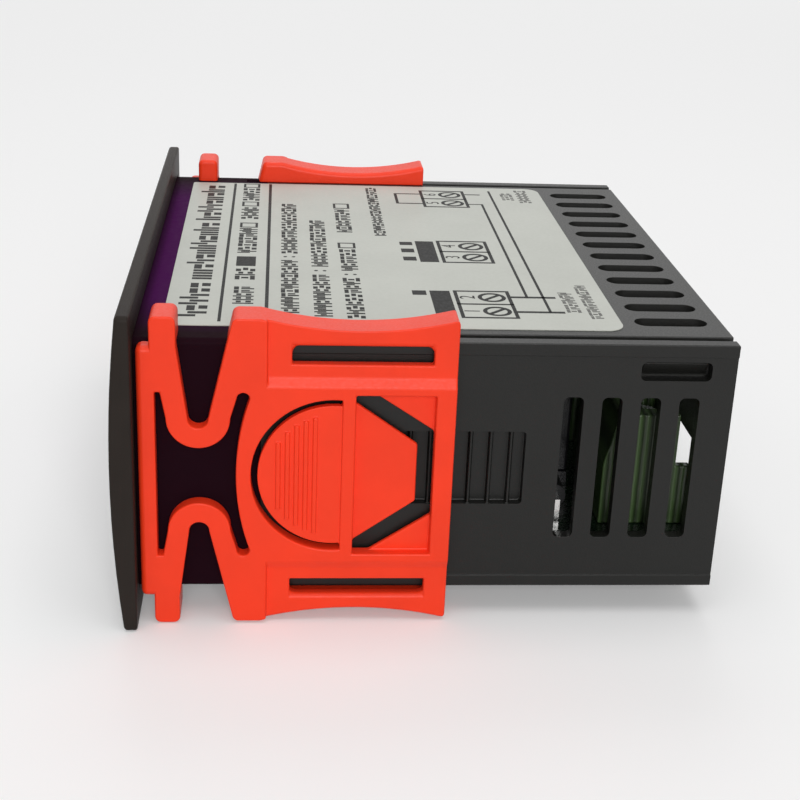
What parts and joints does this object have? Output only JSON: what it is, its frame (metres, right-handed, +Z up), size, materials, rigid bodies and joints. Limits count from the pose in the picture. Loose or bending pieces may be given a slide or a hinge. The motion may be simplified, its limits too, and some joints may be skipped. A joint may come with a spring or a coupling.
{
  "type": "panel-mount digital temperature controller",
  "caption": "Panel-mount digital temperature controller with a crowned bezel, vented housing, printed label, rear screw terminals and red spring clips that slide up to the panel.",
  "frame": {"origin": "centre of the panel seat, on the back face of the bezel", "axes": "+X across the front towards the right-hand clip, +Y back through the panel, +Z up; the front faces -Y"},
  "size_m": [0.0774, 0.0662, 0.0356],
  "materials": {
    "bezel_grey": "fine satin",
    "shell_violet": "gloss",
    "housing_black": "fine grain",
    "cover_black": "fine grain",
    "label_grey": "matt print",
    "clip_red": "satin",
    "terminal_green": "satin",
    "button_grey": "satin",
    "switch_black": "satin",
    "plunger_white": "satin",
    "board_green": "lacquer",
    "display_grey": "matt",
    "lamp_red": "gloss",
    "chip_black": "matt",
    "pin_gold": "bright",
    "core_steel": "laminated",
    "bobbin_white": "satin",
    "winding_tape": "tape",
    "relay_black": "gloss",
    "can_black": "sleeve",
    "tinned_wire": "tinned",
    "varistor_blue": "lacquer",
    "screw_steel": "plated"
  },
  "bodies": {
    "controller": {"front_bezel": "bezel_grey", "front_shell": "shell_violet", "housing": "housing_black", "top_cover": "cover_black", "rating_label": "label_grey", "load_terminal": "terminal_green", "sensor_terminal": "terminal_green", "power_terminal": "terminal_green", "terminal_clamps": "screw_steel", "terminal_screws": "screw_steel", "tact_switches": "switch_black", "display_board": "board_green", "led_display": "display_grey", "indicator_leds": "lamp_red", "control_chip": "chip_black", "main_board": "board_green", "header_strip": "chip_black", "header_pins": "pin_gold", "transformer_core": "core_steel", "transformer_bobbin": "bobbin_white", "transformer_winding": "winding_tape", "relay_base": "relay_black", "relay_case": "relay_black", "filter_capacitor": "can_black", "output_capacitor": "can_black", "rectifier_diodes": "chip_black", "diode_leads": "tinned_wire", "regulator": "chip_black", "varistor": "varistor_blue", "buzzer": "chip_black"},
    "right_clip_slider": {"right_clip": "clip_red"},
    "left_clip_slider": {"left_clip": "clip_red"},
    "set_key": {"set_button": "button_grey", "set_plunger": "plunger_white"},
    "up_key": {"up_button": "button_grey", "up_plunger": "plunger_white"},
    "power_key": {"power_button": "button_grey", "power_plunger": "plunger_white"},
    "down_key": {"down_button": "button_grey", "down_plunger": "plunger_white"}
  },
  "joints": [
    {"name": "right_clip_slide", "type": "slide", "parent": "controller", "child": "right_clip_slider", "axis": [0, 1, 0], "range_m": [0, 0.0114]},
    {"name": "left_clip_slide", "type": "slide", "parent": "controller", "child": "left_clip_slider", "axis": [0, 1, 0], "range_m": [-0.0017, 0.0092]},
    {"name": "set_press", "type": "slide", "parent": "controller", "child": "set_key", "axis": [0, 1, 0], "range_m": [0, 0.0005], "stiffness_N_per_m": 600, "springref_m": -0.0005},
    {"name": "up_press", "type": "slide", "parent": "controller", "child": "up_key", "axis": [0, 1, 0], "range_m": [0, 0.0005], "stiffness_N_per_m": 600, "springref_m": -0.0005},
    {"name": "power_press", "type": "slide", "parent": "controller", "child": "power_key", "axis": [0, 1, 0], "range_m": [0, 0.0005], "stiffness_N_per_m": 600, "springref_m": -0.0005},
    {"name": "down_press", "type": "slide", "parent": "controller", "child": "down_key", "axis": [0, 1, 0], "range_m": [0, 0.0005], "stiffness_N_per_m": 600, "springref_m": -0.0005}
  ]
}
